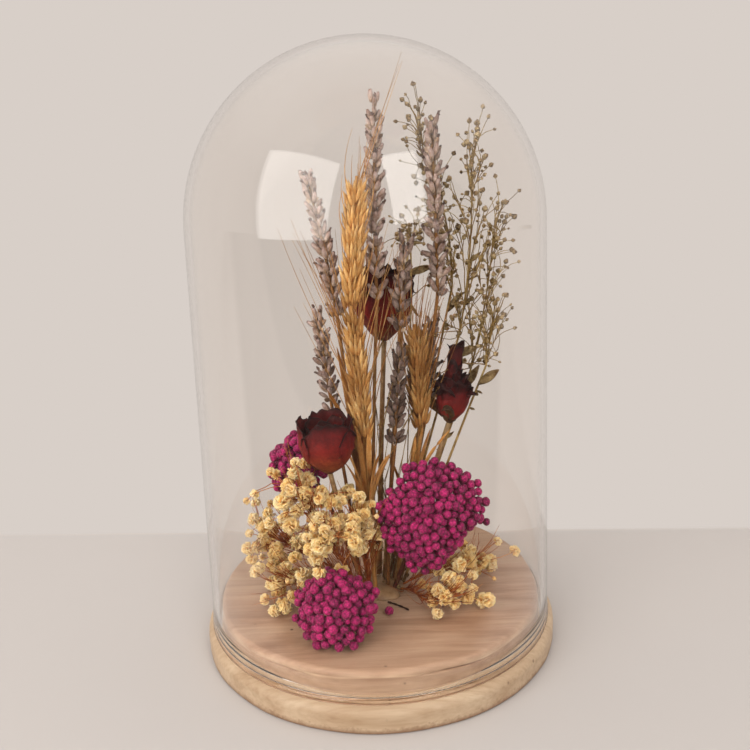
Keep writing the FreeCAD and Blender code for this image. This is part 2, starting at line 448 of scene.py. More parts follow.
class Paint(Nodes):
    """A new material and its nodes."""

    def __init__(self, name, roughness):
        self.material = bpy.data.materials.new(name)
        self.material.use_nodes = True
        super().__init__(self.material.node_tree)
        self.shader = self.nodes["Principled BSDF"]
        self.set({"Roughness": roughness})

    def set(self, values):
        """Sets numbers and colours on the shader's own sockets."""
        for key, value in values.items():
            self.shader.inputs[key].default_value = value

    def soak(self, weight, radii):
        """Lets light soak into the surface, by a radius in metres for each colour."""
        self.set({"Subsurface Weight": weight, "Subsurface Radius": radii, "Subsurface Scale": 1.0})

    def place(self, stretch=(1, 1, 1), turn=0.0):
        """The place on the object in metres, stretched and turned about Z by degrees."""
        where = self.add("TexCoord", {}).outputs["Object"]
        turned = {"Vector": where, "Rotation": (0, 0, math.radians(turn)), "Scale": stretch}
        return self.add("Mapping", turned).outputs[0]

    def attribute(self, name):
        """A number that each point of the mesh carries, such as its tint."""
        return self.add("Attribute", {}, attribute_name=name).outputs["Fac"]

    def noise(self, size, detail=4.0, roughness=0.6, place=None, distortion=0.0):
        """Soft noise with features of about that size in metres, from 0 to 1."""
        values = {
            "Vector": place or self.place(),
            "Scale": 1 / size,
            "Detail": detail,
            "Roughness": roughness,
            "Distortion": distortion,
        }
        return self.add("TexNoise", values).outputs[0]

    def cells(self, size):
        """The distance to the middle of round cells of about that size, from 0 to 1."""
        values = {"Vector": self.place(), "Scale": 1 / size}
        return self.add("TexVoronoi", values).outputs["Distance"]

    def ramp(self, amount, stops):
        """The colour at an amount, between (amount, colour) stops."""
        node = self.add("ValToRGB", {"Fac": amount})
        elements = node.color_ramp.elements
        while len(elements) < len(stops):
            elements.new(0.5)
        for element, (place, colour) in zip(elements, stops):
            element.position = place
            element.color = rgb(*colour)
        return node.outputs["Color"]

    def relief(self, height, depth, below=None):
        """The surface normal of a relief of that depth in metres, over another one below."""
        values = {"Height": height, "Distance": depth, "Strength": 1.0}
        if below:
            values["Normal"] = below
        return self.add("Bump", values).outputs["Normal"]

    def show_mix(self, share, first, second):
        """Shows a mix of two shaders, instead of the material's usual one."""
        mixed = self.add("MixShader", {0: share, 1: first.outputs[0], 2: second.outputs[0]})
        self.links.new(mixed.outputs[0], self.nodes["Material Output"].inputs["Surface"])

    def finish(self, colour, normal=None, roughness=None):
        """The material, with its colour, relief and roughness on the shader."""
        self.put(self.shader.inputs["Base Color"], colour)
        if normal:
            self.put(self.shader.inputs["Normal"], normal)
        if roughness:
            self.put(self.shader.inputs["Roughness"], roughness)
        return self.material


def dried(name, stops, darkest, mottle, grain, depth, roughness=0.75, sheen=0.0, glow=0.0):
    """Dried plant matter: a colour along each part, a shade by tint, mottling and fine relief.

    stops are colours along a part, darkest multiplies them where the tint is 0, and mottle does
    in the blotches. glow is how far light soaks into the thin matter.
    """
    paint = Paint(name, roughness)
    fine = paint.noise(grain, detail=3.0)
    colour = paint.ramp(paint.attribute("along"), stops)
    colour = paint.times(colour, paint.ramp(paint.attribute("tint"), [(0, darkest), (1, PALE)]))
    blotches = paint.noise(grain * 4)
    colour = paint.times(colour, paint.ramp(blotches, [(0.35, mottle), (0.65, PALE)]))
    colour = paint.times(colour, paint.ramp(fine, [(0.3, mottle), (0.7, PALE)]), 0.35)
    paint.set({"Sheen Weight": sheen, "Specular IOR Level": DULL_SPECULAR})
    if glow:
        paint.soak(glow, (0.0012, 0.0008, 0.0005))
    return paint.finish(colour, paint.relief(fine, depth))


def clear_glass():
    """Clear glass that lets light through as shadows do, with a faint warm body."""
    paint = Paint("clear_glass", 0.0)
    paint.set({"Base Color": rgb(*GLASS_BODY), "Transmission Weight": 1.0, "IOR": GLASS_IOR})
    smudges = paint.ramp(
        paint.noise(0.05, detail=5.0, roughness=0.7), [(0.45, BLACK), (0.8, grey(30))]
    )
    paint.put(paint.shader.inputs["Roughness"], smudges)
    see_through = paint.add("BsdfTransparent", {"Color": rgb(*GLASS_BODY)})
    shadow = paint.add("LightPath", {}).outputs["Is Shadow Ray"]
    paint.show_mix(shadow, paint.shader, see_through)
    return paint.material


def wood(name, light, middle, dark, turn, pits):
    """Planed wood: long grain that runs through the block, specks, pores and a dull sheen."""
    band_size, line_size, pore_size = 0.014, 0.0016, 0.0006
    cloud_size, speck_gap, speck_patch = 0.03, 0.0075, 0.02
    paint = Paint(name, 0.62)
    along_grain = paint.place((0.12, 1, 0.9), turn)
    bands = paint.noise(band_size, detail=6.0, roughness=0.55, place=along_grain, distortion=1.2)
    colour = paint.ramp(bands, [(0.32, dark), (0.47, middle), (0.62, light), (0.8, middle)])
    lines = paint.noise(line_size, detail=3.0, place=paint.place((0.04, 1, 0.8), turn))
    colour = paint.times(colour, paint.ramp(lines, [(0.3, dark), (0.6, PALE)]), 0.3)
    clouds = paint.noise(cloud_size, detail=3.0)
    colour = paint.times(colour, paint.ramp(clouds, [(0.35, middle), (0.7, PALE)]), 0.25)
    specks = paint.ramp(paint.cells(speck_gap), [(0.0, pits), (0.07, pits), (0.12, PALE)])
    chosen = paint.ramp(paint.noise(speck_patch, detail=1.0), [(0.52, BLACK), (0.6, PALE)])
    colour = paint.mix(chosen, colour, paint.times(colour, specks))
    pores = paint.noise(pore_size, detail=2.0, place=paint.place((0.15, 1, 1), turn))
    normal = paint.relief(lines, 0.00012, paint.relief(pores, 0.00006))
    rough = paint.ramp(lines, [(0.2, grey(175)), (0.8, grey(205))])
    return paint, colour, normal, rough


def pale_wood():
    """The pale base: warm tan, with painted shade along its lower edge, where it meets the table."""
    paint, colour, normal, rough = wood(
        "pale_wood", (214, 190, 160), (204, 178, 148), (190, 161, 129), 24, (114, 84, 62)
    )
    # Painted shade: the lowest part of the side turns darker, with an uneven border, as where the
    # base meets the table.
    height = paint.add("SeparateXYZ", {0: paint.place()}).outputs["Z"]
    share = paint.maths("MULTIPLY", height, 1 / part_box("base_disc")[1].z)
    uneven_contact_shade = paint.maths("MULTIPLY", share, paint.noise(0.0022, detail=4.0))
    edge = paint.ramp(uneven_contact_shade, [(0.02, (150, 108, 76)), (0.14, PALE)])
    return paint.finish(paint.times(colour, edge, 0.8), normal, rough)


def whitewashed_wood():
    """The raised disc: a thin pinkish whitewash over brown wood, a lighter line along its arris,
    painted light on its side, and cracks darkened partly as bare wood and partly as painted shade.
    """
    paint, colour, normal, rough = wood(
        "whitewashed_wood", (202, 170, 143), (190, 155, 128), (162, 125, 99), 8, (104, 72, 56)
    )
    along_grain = paint.place((0.3, 1, 1), 8)
    worn_through = paint.noise(0.02, detail=6.0, place=along_grain)
    wash = paint.ramp(worn_through, [(0.4, BLACK), (0.62, grey(150))])
    colour = paint.mix(wash, colour, rgb(204, 178, 153))
    # The along mark holds a wavy lighter line along the arris and painted light on the side below it.
    rim = paint.ramp(paint.attribute("along"), [(0.0, BLACK), (1.0, PALE)])
    colour = paint.mix(rim, colour, rgb(226, 196, 166))
    # The tint makes the side a little darker than the top, and darkens each crack by its depth:
    # partly bare wood, partly painted shade.
    shades = [(0.2, grey(240)), (0.5, PALE), (0.55, PALE), (0.9, (104, 74, 58))]
    crack = paint.ramp(paint.attribute("tint"), shades)
    return paint.finish(paint.times(colour, crack), normal, rough)


def set_glue():
    """The dull tan drop of set glue that holds the stems."""
    paint = Paint("set_glue", 0.35)
    colour = paint.ramp(paint.noise(0.006), [(0.3, (128, 96, 66)), (0.7, (178, 146, 108))])
    paint.soak(0.4, (0.004, 0.003, 0.002))
    return paint.finish(colour, paint.relief(paint.noise(0.0015), 0.0002))


def magenta_bead():
    """The dyed flower heads: magenta, stippled with tiny closed bracts, and darkened on each bead's
    inner side as painted shade.
    """
    paint = Paint("magenta_bead", 0.55)
    # Along each bead: dark on the side it turns inward or down, bright on its outer face; this is
    # painted shade where the beads crowd together.
    stops = [(0.0, (66, 4, 34)), (0.5, (176, 18, 100)), (1.0, (220, 40, 136))]
    colour = paint.ramp(paint.attribute("along"), stops)
    shade = paint.ramp(paint.attribute("tint"), [(0, (190, 178, 196)), (1, PALE)])
    bracts = paint.cells(0.0009)
    tip_stops = [(0.05, (255, 196, 236)), (0.35, (232, 170, 214)), (0.75, (120, 84, 112))]
    colour = paint.times(paint.times(colour, shade), paint.ramp(bracts, tip_stops), 0.75)
    dots = paint.ramp(bracts, [(0.0, grey(190)), (0.24, BLACK)])
    colour = paint.mix(dots, colour, rgb(240, 124, 180))
    paint.set({"Specular IOR Level": DULL_SPECULAR, "Sheen Weight": 0.12})
    return paint.finish(colour, paint.relief(bracts, 0.0004))


MATERIALS = {
    "clear_glass": clear_glass(),
    "pale_wood": pale_wood(),
    "whitewashed_wood": whitewashed_wood(),
    "set_glue": set_glue(),
    "magenta_bead": magenta_bead(),
}

# Dried plant matter: its colours along a part, its darkest shade and blotch, the size of its
# grain and the depth of its relief in metres, and what else differs from the usual finish
DRIED = {
    "lavender_calyx": (
        [(0, (216, 194, 168)), (0.45, (218, 200, 190)), (0.9, (208, 190, 188)), (1, (170, 146, 138))],
        ((112, 96, 84), (196, 178, 166), 0.0009, 0.00018),
        {"sheen": 0.1, "glow": 0.1},
    ),
    "lavender_stem": (
        [(0, (188, 142, 90)), (0.6, (178, 142, 98)), (1, (168, 148, 116))],
        ((200, 184, 160), (206, 184, 154), 0.0012, 0.00012),
        {},
    ),
    "wheat_straw": (
        [(0, (222, 166, 100)), (0.4, (242, 198, 130)), (0.8, (252, 220, 160)), (1, (242, 204, 146))],
        ((150, 130, 96), (230, 206, 172), 0.0014, 0.00012),
        {"roughness": 0.6, "glow": 0.1},
    ),
    "wheat_awn": (
        [(0, (236, 190, 122)), (1, (216, 180, 130))],
        ((164, 136, 98), (214, 190, 156), 0.002, 0.00004),
        {"roughness": 0.55},
    ),
    "rose_petal": (
        [
            (0, (160, 88, 40)),
            (0.3, (146, 62, 30)),
            (0.5, (136, 26, 16)),
            (0.78, (112, 10, 12)),
            (0.92, (74, 10, 12)),
            (1, (42, 10, 10)),
        ],
        ((172, 152, 144), (196, 156, 146), 0.0011, 0.0002),
        {"roughness": 0.7, "glow": 0.08},
    ),
    "rose_sepal": (
        [(0, (146, 112, 66)), (1, (104, 74, 50))],
        ((180, 170, 150), (140, 110, 90), 0.001, 0.00015),
        {},
    ),
    "cream_flower": (
        [(0, (240, 186, 114)), (0.5, (250, 218, 156)), (1, (254, 238, 196))],
        ((244, 230, 204), (248, 232, 204), 0.001, 0.0001),
        {"roughness": 0.7, "sheen": 0.1, "glow": 0.35},
    ),
    "golden_twig": (
        [(0, (200, 122, 58)), (0.5, (222, 156, 84)), (1, (236, 184, 118))],
        ((200, 150, 112), (190, 140, 100), 0.001, 0.00005),
        {"roughness": 0.6},
    ),
    "green_twig": (
        [(0, (188, 156, 98)), (0.5, (190, 166, 110)), (1, (192, 172, 122))],
        ((200, 190, 160), (170, 150, 110), 0.001, 0.00005),
        {},
    ),
    "green_bud": (
        [(0, (184, 164, 114)), (0.6, (216, 198, 158)), (1, (196, 170, 134))],
        ((180, 168, 146), (150, 130, 100), 0.0006, 0.0001),
        {},
    ),
    "dark_twig": (
        [(0, (84, 54, 40)), (1, (70, 46, 36))],
        ((200, 190, 180), (150, 120, 104), 0.0008, 0.0001),
        {},
    ),
    "bead_stalk": (
        [(0, (150, 96, 66)), (1, (150, 52, 100))],
        ((180, 160, 170), (160, 120, 120), 0.001, 0.00005),
        {},
    ),
}
for name, (stops, finish, extras) in DRIED.items():
    MATERIALS[name] = dried(name, stops, *finish, **extras)


# ---------------------------------------------------------------- glass, wood and glue


# A turned shape's smallest ring, which its end faces close
MIDDLE_HOLE = 0.0004


def rounded(centre, radius, first, last, steps):
    """Points of an arc in (radius, height), between two angles in degrees."""
    angles = np.radians(np.linspace(first, last, steps))
    return [(centre[0] + radius * math.cos(a), centre[1] + radius * math.sin(a)) for a in angles]


def make_dome():
    """The blown glass dome: a wall that leans in a little, a round crown and a beaded rim."""
    bead_radius = 0.0019
    bead_rows = 12
    wall_rows = 24
    crown_rows = 44
    pole = 0.5
    lean = math.degrees(math.atan((RIM_RADIUS - CROWN_RADIUS) / (CROWN_CENTRE - RIM_BOTTOM)))
    inner_crown = rounded((0, CROWN_CENTRE), CROWN_RADIUS - GLASS_WALL, 90 - pole, lean, crown_rows)
    outer_crown = rounded((0, CROWN_CENTRE), CROWN_RADIUS, lean, 90 - pole, crown_rows)
    bead = (RIM_RADIUS - GLASS_WALL / 2, RIM_BOTTOM + bead_radius)
    meets_wall = math.degrees(math.acos(GLASS_WALL / 2 / bead_radius))
    inner_rim = rounded(bead, bead_radius, 180 - meets_wall, 270, bead_rows)
    outer_rim = rounded(bead, bead_radius, 270, 360 + meets_wall, bead_rows)[1:]
    inner_wall = np.linspace(inner_crown[-1], inner_rim[0], wall_rows)[1:-1]
    outer_wall = np.linspace(outer_rim[-1], outer_crown[0], wall_rows)[1:-1]
    profile = np.vstack([inner_crown, inner_wall, inner_rim, outer_rim, outer_wall, outer_crown])
    dome = Piece()
    dome.add(lathe(profile, GLASS_SIDES))
    dome.make("dome_glass", "clear_glass", "clear_glass", body="dome", node="glass_dome")


def disc_profile(radius, bottom, top, low_round, high_round):
    """The outline of a turned disc with rounded edges, from the middle below to the middle above."""
    under = [(r, bottom) for r in np.linspace(MIDDLE_HOLE, radius - low_round, 16)[:-1]]
    low = rounded((radius - low_round, bottom + low_round), low_round, -90, 0, 6)
    high = rounded((radius - high_round, top - high_round), high_round, 0, 90, 8)
    side = np.linspace(low[-1], high[0], 22)[1:-1]
    over = [(r, top) for r in np.linspace(radius - high_round, MIDDLE_HOLE, 30)[1:]]
    return np.vstack([under, low, side, high, over])


def worn(points, radius, bottom, top, depth, seed):
    """A disc's points, with its edge and top worn back unevenly by up to that depth."""
    reach = np.linalg.norm(points[:, :2], axis=1)
    edge = np.clip((reach - 0.9 * radius) / (0.1 * radius), 0, 1)
    waves = 0.5 + 0.5 * ripple(points, 0.03, seed) * 0.8 + 0.1 * ripple(points, 0.006, seed + 1)
    points = points.copy()
    points[:, :2] *= (1 - edge * depth * np.clip(waves, 0, 1) / radius)[:, None]
    high = np.clip((points[:, 2] - bottom) / (top - bottom) * 3 - 2, 0, 1)
    points[:, 2] -= high * depth * 0.35 * np.clip(0.5 + 0.5 * ripple(points, 0.02, seed + 2), 0, 1)
    return points


def make_base():
    """The pale wooden base, worn round over its edges."""
    low_round, high_round, wear = 0.0015, 0.004, 0.0004
    low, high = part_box("base_disc")
    shape = lathe(disc_profile(high.x, low.z, high.z, low_round, high_round), DISC_SIDES)
    shape.points = worn(shape.points, high.x, low.z, high.z, wear, 3)
    piece = Piece()
    piece.add(shape)
    piece.make("base_wood", "pale_wood", "pale_wood", node="base_disc")


def crack_depth(angle, height, crack):
    """How deep a lens-shaped crack in the side of the raised disc is at each place, 0 to 1."""
    first, last, middle, tall = crack
    share = np.clip((np.degrees(angle) - first) / (last - first), 0, 1)
    half = tall / 2 * np.sin(math.pi * share) ** 0.8
    drift = middle + 0.0004 * np.sin(share * 5)
    return np.clip(1.6 * (1 - abs(height - drift) / np.maximum(half, 1e-6)), 0, 1)


def make_plinth():
    """The raised whitewashed disc: worn edges, a wavy lighter line along its arris, painted light on
    its side below that, and two cracks below the line in front, darkened partly as bare wood and
    partly as painted shade.
    """
    low, high = PLINTH_BOX
    low_round, top_round = 0.0004, 0.0026
    line_drop, line_width, line_waves = 0.0030, 0.0007, 0.0006
    side_tone, top_tone = 0.2, 0.5
    crack_in, wear = 0.0016, 0.0009
    cracks = [
        (-80, -54, high.z - line_drop - 0.0010, 0.0013),
        (-141, -112, high.z - line_drop - 0.0008, 0.0008),
    ]
    profile = disc_profile(high.x, low.z, high.z, low_round, top_round)
    side_rows = np.linspace(low.z + 0.0006, high.z - top_round, 48)
    inside = profile[:, 0] < high.x - 0.0003
    first = np.argmax(~inside)
    profile = np.vstack(
        [profile[:first], [(high.x, z) for z in side_rows], profile[first:][inside[first:]]]
    )
    shape = lathe(profile, DISC_SIDES)
    points = shape.points
    angle = np.arctan2(points[:, 1], points[:, 0])
    reach = np.linalg.norm(points[:, :2], axis=1)
    on_side = reach > high.x - 0.0004
    depth = sum(crack_depth(angle, points[:, 2], crack) for crack in cracks) * on_side
    below = high.z - line_drop + line_waves * ripple(points, 0.03, 17) - points[:, 2]
    outer = reach > 0.9 * high.x
    arris = outer * np.clip(1.2 - abs(below) / line_width, 0, 1)
    # Painted light: the side below the arris line is made a little lighter, as if lit from the front.
    painted_side_light = outer * np.clip(below / 0.001, 0, 0.12)
    points = worn(points, high.x, low.z, high.z, wear, 11)
    points[:, :2] *= (1 - depth * crack_in / high.x)[:, None]
    shape.points = points
    # The along mark carries the arris line and the painted side light to the material.
    shape.along = np.maximum(arris, painted_side_light) * (0.7 + 0.3 * ripple(points, 0.008, 21))
    piece = Piece()
    piece.add(shape)
    # The tint darkens each crack by its depth: partly bare wood, partly painted shade.
    depth = np.clip(depth, 0, 1)
    piece.tints = [np.where(on_side, side_tone, top_tone) * (1 - depth) + depth]
    piece.make("plinth_wood", "whitewashed_wood", "whitewashed_wood", node="centre_plinth")


def make_glue():
    """The lumpy drop of glue on the raised disc."""
    low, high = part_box("glue_mound")
    middle = np.array((low + high) / 2)
    radius, height = (high.x - low.x) / 2, high.z - low.z
    tilts = math.pi / 2 * np.linspace(1, 0, 14)
    profile = [(radius * math.sin(a) + MIDDLE_HOLE / 2, height * math.cos(a)) for a in tilts]
    shape = lathe([(radius * 0.3, 0.0), (radius * 0.9, 0.0)] + profile, 72)
    lump_size, lump_depth = 0.008, 0.16
    lumps = 1 - lump_depth * np.clip(0.5 + 0.5 * ripple(shape.points, lump_size, 31), 0, 1)
    shape.points = shape.points * lumps[:, None]
    shape.points += (middle[0], middle[1], low.z)
    piece = Piece()
    piece.add(shape)
    piece.make("glue_drop", "set_glue", "set_glue", node="glue_mound")


# ---------------------------------------------------------------- lavender


def bent_stem(flower, bow, rng, steps=14):
    """A stem's path from foot to neck that arrives in line with the head."""
    length = np.linalg.norm(flower.neck - flower.foot)
    control = flower.neck - flower.axis * length * 0.35
    control = control * 0.35 + (flower.foot + flower.neck) / 2 * 0.65
    path = curve(flower.foot, control, flower.neck, steps)
    share = np.linspace(0, 1, steps)
    for direction in across(flower.axis):
        waves = np.sin(share * math.pi) * rng.normal(scale=bow)
        path += np.outer(waves, direction)
    return path


def calyx_shape():
    """One plump ribbed lavender calyx of unit length, nearly closed at its mouth."""
    profile = [(0.05, 0), (0.12, 0.1), (0.18, 0.3), (0.2, 0.52), (0.175, 0.74), (0.12, 0.92)]
    profile += [(0.09, 1), (0.03, 0.95)]
    shape = lathe(profile, 12, ridges=0.1)
    shape.along = np.clip(shape.points[:, 2], 0, 1)
    return shape


def crumple_shape(seed):
    """A small withered petal tube of unit length."""
    shape = lathe([(0.1, 0.0), (0.24, 0.3), (0.36, 0.65), (0.2, 0.9), (0.04, 1.0)], 6, ridges=0.3)
    shape.points = shape.points + 0.12 * np.random.default_rng(seed).normal(size=shape.points.shape)
    return shape


def leaf_shape(width, curl, ruffle, rows=8, columns=5):
    """A pointed leaf of unit length along +Z, which curls back towards +X at its tip."""
    t = np.linspace(0, 1, rows)[:, None]
    u = np.linspace(-1, 1, columns)[None, :]
    half = width / 2 * np.sin(math.pi * t**0.8) + 0.015
    bend = curl * t**2
    cup = 0.25 * width * u**2 * (1 - 0.4 * t)
    x = bend * 0.5 * t + cup + ruffle * np.sin(9 * t + 3 * u)
    z = t * (1 - 0.35 * abs(curl) * t) + 0 * u
    return sheet(np.stack([x, u * half, z], -1), 0.022)


CALYX = calyx_shape()
WITHERED = [crumple_shape(seed) for seed in (41, 42, 43)]
BRACT = leaf_shape(0.55, 0.35, 0.02, rows=5, columns=4)


# How pale the florets of each spike are, from 0 to 1, at least and at most; the low ranges of spikes
# 5, 6 and 7 are painted shade deep in the bunch
LAVENDER_TINTS_AND_PAINTED_SHADE = {
    1: (0.7, 1.0),
    2: (0.4, 0.8),
    3: (0.6, 1.0),
    4: (0.45, 0.9),
    5: (0.1, 0.6),
    6: (0.0, 0.25),
    7: (0.2, 0.6),
}


def make_lavender(number):
    """A lavender spike: whorls of ribbed calyces up a thin stem, closer towards the tip."""
    node = f"lavender_{number}"
    flower = Flower(node)
    rng = generator(node)
    whorl_gap = 0.0060
    calyx_length = 0.0062
    core_radius = 0.0012
    row_gap = 0.0022
    petal_length, petal_share = 0.0021, 0.35
    bract_length = 0.0042
    low_lean, middle_lean, tip_lean = 40, 30, 14
    stem = Piece()
    path = bent_stem(flower, 0.0012, rng)
    middle = (flower.neck + flower.tip) / 2
    middle = middle + across(flower.axis, rng.uniform(0, TURN))[0] * core_radius
    spine = curve(flower.neck, middle, flower.tip - flower.axis * calyx_length * 0.7, 24)
    whole = np.vstack([path, spine[1:]])
    radii = np.interp(np.linspace(0, 1, len(whole)), [0, 0.6, 1], [0.0009, 0.0008, 0.0005])
    stem.add(sweep(held_inside(whole), radii, STEM_SIDES), rng.random())
    stem.make(f"{node}_stem", "lavender_stem", "lavender", node=node)
    head = Piece()
    share = 0.0
    while share <= 1.0:
        centre, tangent = at_share(spine, share)
        count = int(round(7 - 3 * share))
        turn = rng.uniform(0, TURN)
        for k in range(count):
            out = across(tangent, turn + k * TURN / count + rng.normal(scale=0.18))[0]
            lean = np.interp(share, [0, 0.8, 1], [low_lean, middle_lean, tip_lean])
            lean = math.radians(lean + rng.normal(scale=10))
            axis = math.cos(lean) * tangent + math.sin(lean) * out
            rise = (k % 2) * row_gap + rng.normal(scale=0.0008)
            start = centre + out * core_radius + tangent * rise
            size = calyx_length * rng.uniform(0.82, 1.15) * (1 - 0.15 * share)
            # Spikes deep in the bunch take darker tints here, as painted shade.
            tint = rng.uniform(*LAVENDER_TINTS_AND_PAINTED_SHADE[number])
            roll = rng.uniform(0, TURN)
            head.add(placed(CALYX, start, axis, roll, size), tint)
            if rng.random() < petal_share:
                mouth = start + axis * size * 0.9
                shape = WITHERED[rng.integers(len(WITHERED))]
                head.add(placed(shape, mouth, axis, roll, petal_length), tint * 0.6, along=1.0)
        for k in range(2):
            out = across(tangent, turn + k * math.pi)[0]
            bract = placed(BRACT, centre + out * 0.0006, 0.5 * tangent + out, 0, bract_length)
            head.add(bract, rng.random(), along=0.1)
        gap = whorl_gap * np.interp(share, [0, 0.15, 1], [1.5, 1.0, 0.72]) * rng.uniform(0.9, 1.1)
        share += gap / flower.length
    head.make(f"{node}_calyces", "lavender_calyx", "lavender")


# ---------------------------------------------------------------- wheat

# For each ear: how long its awns are in metres, the share of husks that have one, how far they
# fan out and lean to the right, how many at the top stand high, how pale the ear is from 0 to 1,
# and how many dry leaf blades it has
WHEAT = {
    1: dict(awn=(0.016, 0.034), share=0.25, fan=0.12, lean=0.04, high=3, tints=(0.4, 1.0), blades=9),
    2: dict(awn=(0.045, 0.080), share=0.4, fan=0.40, lean=0.0, high=0, tints=(0.1, 0.7), blades=30),
    3: dict(awn=(0.025, 0.050), share=0.5, fan=0.26, lean=0.1, high=0, tints=(0.0, 0.35), blades=9),
}


def grain_shape():
    """One pointed, keeled husk of unit length."""
    profile = [(0.05, 0.0), (0.10, 0.12), (0.13, 0.32), (0.115, 0.55), (0.065, 0.8), (0.012, 1.06)]
    shape = lathe(profile, 10, ridges=0.12)
    shape.points = shape.points * (0.8, 1.0, 1.0)
    shape.along = np.clip(shape.points[:, 2], 0, 1)
    return shape


GRAIN = grain_shape()


def blade(path, width, rng):
    """A long dried grass leaf along a path, folded down its middle and twisting a little."""
    tangents = np.gradient(path, axis=0)
    share = np.linspace(0, 1, len(path))
    halves = width / 2 * np.sin(math.pi * np.clip(share * 0.94 + 0.06, 0, 1)) ** 0.6
    start, twist = rng.uniform(0, TURN), rng.normal(scale=1.6)
    places = np.array([-1, -0.5, 0, 0.5, 1])
    fold = 0.45
    rows = []
    for point, tangent, half, place in zip(path, tangents, halves, share):
        side, other = across(tangent, start + twist * place)
        rows.append(point + half * (np.outer(places, side) + fold * np.outer(abs(places), other)))
    return sheet(np.array(rows), 0.0002)


def make_wheat(number):
    """A bearded wheat ear: fans of husks in two rows up the stem, some with a long fine awn."""
    node = f"wheat_ear_{number}"
    look = WHEAT[number]
    flower = Flower(node)
    rng = generator(node)
    husk_length = 0.0092
    spikelet_gap = 0.0046
    row_offset = 0.0015
    husk_offset = 0.0020
    unevenness = 0.05
    high_length, high_lean = 0.055, (0.30, -0.05, 0)
    stem = Piece()
    path = bent_stem(flower, 0.001, rng)
    spine = curve(flower.neck, (flower.neck + flower.tip) / 2, flower.tip, 24)
    whole = np.vstack([path, spine[1:]])
    radii = np.interp(np.linspace(0, 1, len(whole)), [0, 0.6, 1], [0.0012, 0.0011, 0.0006])
    stem.add(sweep(whole, radii, STEM_SIDES), 0.4, along=0.3)
    for share in np.linspace(0.02, 0.45, look["blades"]):
        point, tangent = at_share(path, share)
        out = across(tangent, rng.uniform(0, TURN))[0]
        length = rng.uniform(0.036, 0.062)
        end = point + tangent * length + out * rng.uniform(0.003, 0.016)
        line = held_inside(curve(point, point + tangent * length * 0.6, end, 16))
        stem.add(blade(line, rng.uniform(0.0016, 0.0042), rng), rng.uniform(0, 0.8), along=0.2)
    stem.make(f"{node}_stem", "wheat_straw", "wheat_straw", node=node)
    husks, awns = Piece(), Piece()
    count = int(flower.length * 0.9 / spikelet_gap) * 2
    plane = rng.uniform(0.1, 0.4)
    for k in range(count):
        share = (k + 0.5) / count * 0.88
        centre, tangent = at_share(spine, share)
        side, wide = across(tangent, plane)
        out = side if k % 2 else -side
        taper = np.interp(share, [0, 0.15, 0.7, 1], [0.75, 1, 0.95, 0.7])
        for f in (-1.0, -0.5, 0.0, 0.5, 1.0):
            lean = 0.34 - 0.16 * abs(f)
            jitter = rng.normal(scale=unevenness, size=3)
            axis = unit(tangent + out * lean + wide * f * 0.34 + jitter)
            start = centre + out * row_offset + wide * f * husk_offset
            start = start + tangent * rng.normal(scale=0.0007)
            size = husk_length * taper * rng.uniform(0.85, 1.12)
            husk = placed(GRAIN, start, axis, rng.uniform(0, 1), size)
            husks.add(husk, rng.uniform(*look["tints"]))
            last = k >= count - look["high"] and f == 0.0
            if rng.random() > look["share"] and not last:
                continue
            tip = start + axis * size * 0.94
            length = rng.uniform(*look["awn"]) * (1 - 0.25 * share)
            spread = out * look["fan"] * rng.uniform(0.1, 1.2) + wide * f * look["fan"] * 0.9
            lean = (look["lean"], 0, 0)
            way = unit(tangent + spread + lean + rng.normal(scale=unevenness, size=3))
            start_way = axis
            if last:
                length = high_length
                start_way = way = unit(tangent + high_lean + rng.normal(scale=0.03, size=3))
            line = held_inside(curve(tip, tip + start_way * length * 0.45, tip + way * length, 8))
            awns.strand(line, AWN_RADII, HAIR_SIDES, rng.uniform(*look["tints"]))
    husks.make(f"{node}_husks", "wheat_straw", "wheat_straw")
    awns.make(f"{node}_awns", "wheat_awn", "wheat_straw")


# ---------------------------------------------------------------- roses

# For each rose, its layers of petals from the inside out (how many, their share of the head's
# radius and height, how far their edges flare, and how crinkled they are), where the first petal
# faces, how deep the edge is notched, how dark the petals begin, and its number of sepals
ROSES = {
    "rose_front": {
        "layers": [(3, 0.38, 0.86, 0.0, 0.8), (3, 0.64, 0.95, 0.0, 0.9), (4, 0.94, 1.0, 0.03, 1.0)],
        "look": (1.34, 0.34, 0.0, 5),
    },
    "rose_rear": {
        "layers": [(3, 0.5, 0.94, 0.0, 0.9), (3, 0.9, 1.0, 0.06, 1.2), (4, 1.32, 0.92, 0.12, 1.4)],
        "look": (0.1, 0.3, 0.1, 2),
    },
    "rose_right": {
        "layers": [
            (1, 0.42, 1.0, 0.25, 1.6),
            (2, 0.45, 0.8, 0.2, 1.6),
            (3, 0.66, 0.62, 0.25, 1.6),
            (4, 0.85, 0.5, 0.42, 1.8),
        ],
        "look": (0.9, 0.2, 0.3, 3),
    },
}


